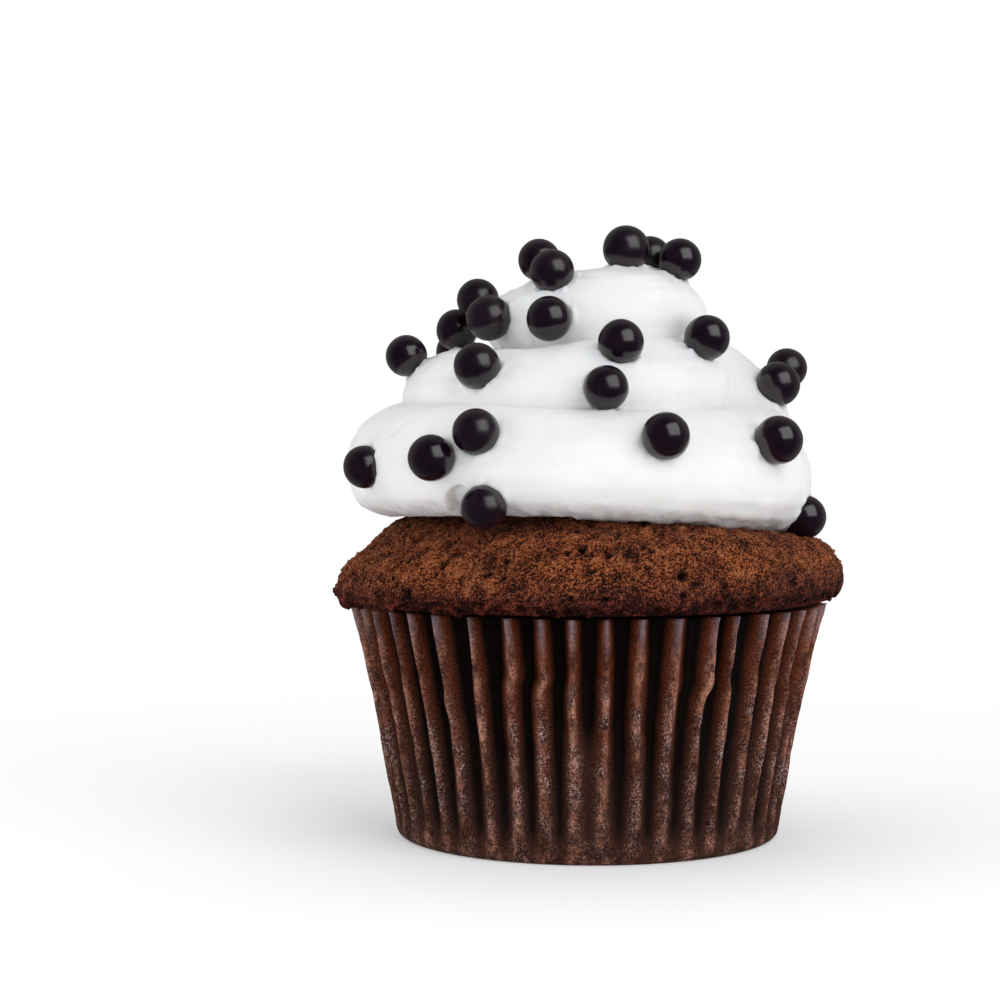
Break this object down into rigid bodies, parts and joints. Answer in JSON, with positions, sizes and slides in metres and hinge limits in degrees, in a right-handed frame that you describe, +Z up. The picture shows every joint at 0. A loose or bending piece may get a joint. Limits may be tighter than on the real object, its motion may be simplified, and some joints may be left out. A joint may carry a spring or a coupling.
{
  "type": "cupcake",
  "caption": "Chocolate cupcake in a pleated paper case, topped with a piped swirl of whipped cream and small chocolate balls.",
  "frame": {"origin": "middle of the paper case's flat base, on the surface the cupcake stands on", "axes": "+Z up; -Y is the front, the side the picture shows, and +X is on its right"},
  "size_m": [0.0686, 0.0684, 0.0809],
  "materials": {
    "paper": "waxed brown paper, satin",
    "crust": "baked chocolate crumb, matte",
    "cream": "whipped cream, soft satin",
    "chocolate": "polished dark chocolate, glossy"
  },
  "bodies": {
    "root": {"paper_case": "paper", "cake": "crust", "cream_swirl": "cream", "choc_ball_01": "chocolate", "choc_ball_02": "chocolate", "choc_ball_03": "chocolate", "choc_ball_04": "chocolate", "choc_ball_05": "chocolate", "choc_ball_06": "chocolate", "choc_ball_07": "chocolate", "choc_ball_08": "chocolate", "choc_ball_09": "chocolate", "choc_ball_10": "chocolate", "choc_ball_11": "chocolate", "choc_ball_12": "chocolate", "choc_ball_13": "chocolate", "choc_ball_14": "chocolate", "choc_ball_15": "chocolate", "choc_ball_16": "chocolate", "choc_ball_17": "chocolate", "choc_ball_18": "chocolate", "choc_ball_19": "chocolate", "choc_ball_20": "chocolate", "choc_ball_21": "chocolate", "choc_ball_22": "chocolate", "choc_ball_23": "chocolate", "choc_ball_24": "chocolate", "choc_ball_25": "chocolate", "choc_ball_26": "chocolate", "choc_ball_27": "chocolate", "choc_ball_28": "chocolate", "choc_ball_29": "chocolate", "choc_ball_30": "chocolate", "choc_ball_31": "chocolate", "choc_ball_32": "chocolate", "choc_ball_33": "chocolate", "choc_ball_34": "chocolate", "choc_ball_35": "chocolate", "choc_ball_36": "chocolate"}
  },
  "joints": []
}
